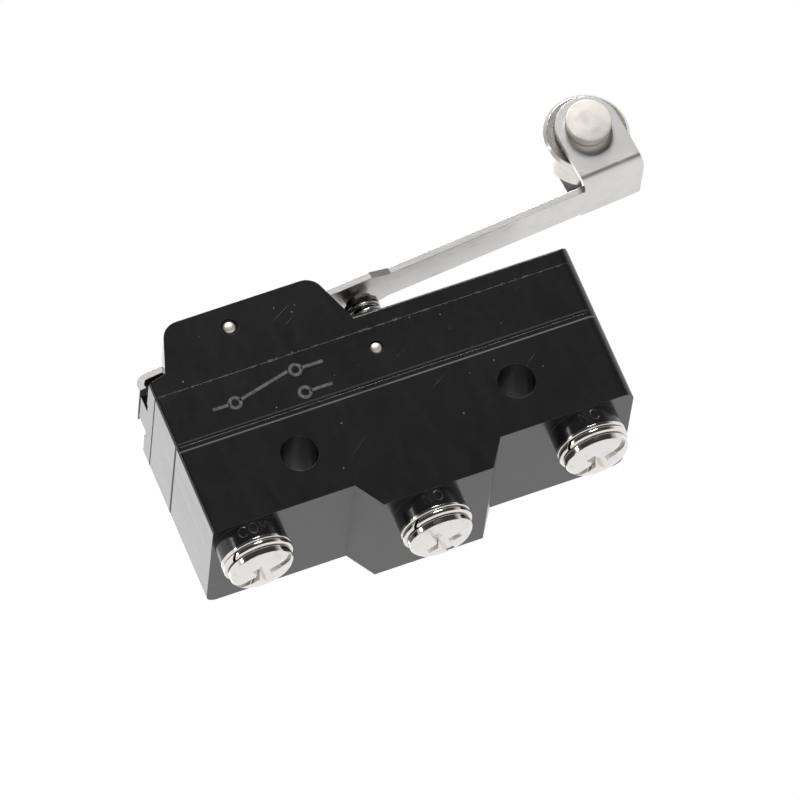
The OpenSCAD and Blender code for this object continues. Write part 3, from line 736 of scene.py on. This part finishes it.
LETTERS = {
    "C": [[(0.80, 0.80), (0.62, 0.96), (0.40, 1.0), (0.16, 0.90), (0.02, 0.64), (0.02, 0.36), (0.16, 0.10),
           (0.40, 0.0), (0.62, 0.04), (0.80, 0.20)]],
    "O": [[(0.42 + 0.40 * cos(2 * pi * k / 20), 0.5 + 0.5 * sin(2 * pi * k / 20)) for k in range(21)]],
    "N": [[(0.05, 0.0), (0.05, 1.0)], [(0.05, 1.0), (0.70, 0.0)], [(0.70, 0.0), (0.70, 1.0)]],
    "M": [[(0.05, 0.0), (0.05, 1.0)], [(0.05, 1.0), (0.45, 0.25)], [(0.45, 0.25), (0.85, 1.0)],
          [(0.85, 1.0), (0.85, 0.0)]],
}


def boss_letters(terminal, word):
    """Raised terminal name, wrapped round the front of its boss."""
    low, high = mm_box(terminal + "_washer")
    centre = (low + high) / 2
    boss = 3.9
    size = 1.15
    pitch = 1.22
    rib = 0.1
    foot = high.z + 0.55
    width = pitch * len(word)
    shapes = []
    for place, letter in enumerate(word):
        for stroke in LETTERS[letter]:
            points = []
            for (u0, v0), (u1, v1) in zip(stroke, stroke[1:]):
                pieces = max(1, ceil(abs(u1 - u0) * 8))
                for k in range(pieces):
                    t = k / pieces
                    points.append((u0 + (u1 - u0) * t, v0 + (v1 - v0) * t))
            points.append(stroke[-1])
            path = []
            for u, v in points:
                angle = (place * pitch + u * size - width / 2 + 0.12) / boss
                across, out = boss * sin(angle), boss * cos(angle)
                path.append(Vector((centre.x + across, centre.y - out, foot + v * size)))
            if (path[0] - path[-1]).length < 0.01:
                shapes.append(swept(path[:-1], circle_section(rib, 8), closed=True))
            else:
                shapes.append(swept(path, circle_section(rib, 8)))
    shape = joined(*shapes)
    limit = front / MM - 0.095
    for vert in shape.verts:
        vert.co.y = max(vert.co.y, limit)
    return shape


def contact_symbol():
    """Printed changeover symbol: common point, blade, and the two fixed points."""
    face = front / MM
    thick = 0.012
    stroke = 0.36
    start, low = -19.6, 6.35
    dot = 0.62

    def ribbon(points, closed=False):
        section = [(-stroke / 2, -thick), (stroke / 2, -thick), (stroke / 2, thick), (-stroke / 2, thick)]
        shape = bmesh.new()
        rings = []
        places = [Vector((x, 0, z)) for x, z in points]
        count = len(places)
        for i, here in enumerate(places):
            ahead = places[(i + 1) % count] if closed or i + 1 < count else here
            behind = places[i - 1] if closed or i else here
            forward = (ahead - behind).normalized()
            side = forward.cross(Vector((0, 1, 0)))
            rings.append([shape.verts.new(here + side * a + Vector((0, face + b, 0))) for a, b in section])
        return skinned(shape, rings, closed)

    def ring(x, z):
        return ribbon([(x + a, z + b) for a, b in circle_section(dot, 32)], True)

    common = (start + 2.6, low + 1.7)
    upper = (start + 10.2, low + 3.2)
    lower = (start + 10.2, low + 0.3)
    end = start + 13.4
    return joined(
        ring(*common), ring(*upper), ring(*lower),
        ribbon([(start, common[1]), (common[0] - dot, common[1])]),
        ribbon([(upper[0] + dot, upper[1]), (end, upper[1])]),
        ribbon([(lower[0] + dot, lower[1]), (end, lower[1])]),
        ribbon([(common[0] + 0.6, common[1] + 0.15), (upper[0] - 0.9, upper[1] + 0.1)]),
    )


for terminal, turn, gap_angle in (("com", -0.48, 3.92), ("no", 1.17, 3.98), ("nc", -0.63, 3.86)):
    add_piece(terminal + "_pan_screw", pan_screw(terminal, turn), "screw_nickel", "case",
              terminal + "_screw", 30)
    add_piece(terminal + "_split_washer", split_washer(terminal, gap_angle), "washer_nickel", "case",
              terminal + "_lock_washer", 40)
    add_piece(terminal + "_plain_washer", plain_washer(terminal), "washer_nickel", "case",
              terminal + "_washer", 40)
    add_piece(terminal + "_letters", boss_letters(terminal, terminal.upper()), "marking_black", "case")
for node in ("hinge_pin", "housing_pin"):
    add_piece(node + "_domed", cross_pin(node), "pin_steel", "case", node)
add_piece("roller_rivet", roller_rivet(), "pin_steel", "lever", "roller_pin")
add_piece("contact_symbol", contact_symbol(), "ink_grey", "case")

spring = add_piece("coil_spring", coil(), "spring_wire", "plunger", "return_spring", 60)
spring_low, spring_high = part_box("return_spring")
travel = joint_of("plunger_slide")["range_m"][1]
1 - travel / (spring_high.z - spring_low.z)
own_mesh(spring)


# ---- studio ----

def camera():
    data = bpy.data.cameras.new("camera")
    data.lens = 450.84
    data.sensor_width = 36
    data.clip_start = 0.1
    data.clip_end = 20
    made = bpy.data.objects.new("camera", data)
    made.location = (-0.23648, -0.97761, -0.42777)
    made.rotation_euler = Euler([radians(a) for a in (115.24847, 21.84539, -3.75841)])
    bpy.context.scene.collection.objects.link(made)
    bpy.context.scene.camera = made


def world():
    """Plain light; the camera sees white, and gloss sees a white room that is dim in front."""
    made = bpy.data.worlds.new("world")
    bpy.context.scene.world = made
    made.use_nodes = True
    w = Tree(made.node_tree)
    toward = w.node("ShaderNodeTexCoord", out="Generated")
    ahead = (0, -0.95, 0.31)
    facing = w.node("ShaderNodeVectorMath", {"operation": "DOT_PRODUCT"}, {0: toward, 1: ahead}, "Value")
    room = w.fade(facing, 0.62, 0.08, 0.04, 1.0)
    sees = w.node("ShaderNodeLightPath", out="Is Camera Ray")
    mirrored = w.node("ShaderNodeLightPath", out="Is Glossy Ray")
    through = w.node("ShaderNodeLightPath", out="Is Transmission Ray")
    plain = 0.6
    strength = sees.larger(through) + mirrored * room + (1 - sees.larger(through).larger(mirrored)) * plain
    glow = w.node("ShaderNodeBackground", inputs={"Color": (1, 1, 1, 1), "Strength": strength})
    last = w.tree.nodes.new("ShaderNodeOutputWorld")
    w.tree.links.new(glow.socket, last.inputs["Surface"])


def lamp(name, place, size, power):
    data = bpy.data.lights.new(name, "AREA")
    data.shape = "DISK"
    data.size = size
    data.energy = power
    made = bpy.data.objects.new(name, data)
    made.location = place
    made.rotation_euler = (-Vector(place)).to_track_quat("-Z", "Y").to_euler()
    bpy.context.scene.collection.objects.link(made)


def floor():
    mesh = bpy.data.meshes.new("floor")
    shape = bmesh.new()
    bmesh.ops.create_circle(shape, cap_ends=True, segments=96, radius=2.5)
    shape.to_mesh(mesh)
    shape.free()
    mesh.materials.append(floor_white())
    made = bpy.data.objects.new("floor", mesh)
    made.location = (0, 0, -0.47)
    bpy.context.scene.collection.objects.link(made)


camera()
world()
lamp("key_lamp", (0.148, -0.611, 0.776), 0.35, 7.0)
lamp("side_lamp", (-0.85, -0.35, 0.36), 0.07, 0.3)
lamp("rim_lamp", (-0.22, 0.89, 0.39), 0.6, 0.65)
floor()
bpy.context.scene.view_settings.view_transform = "Standard"
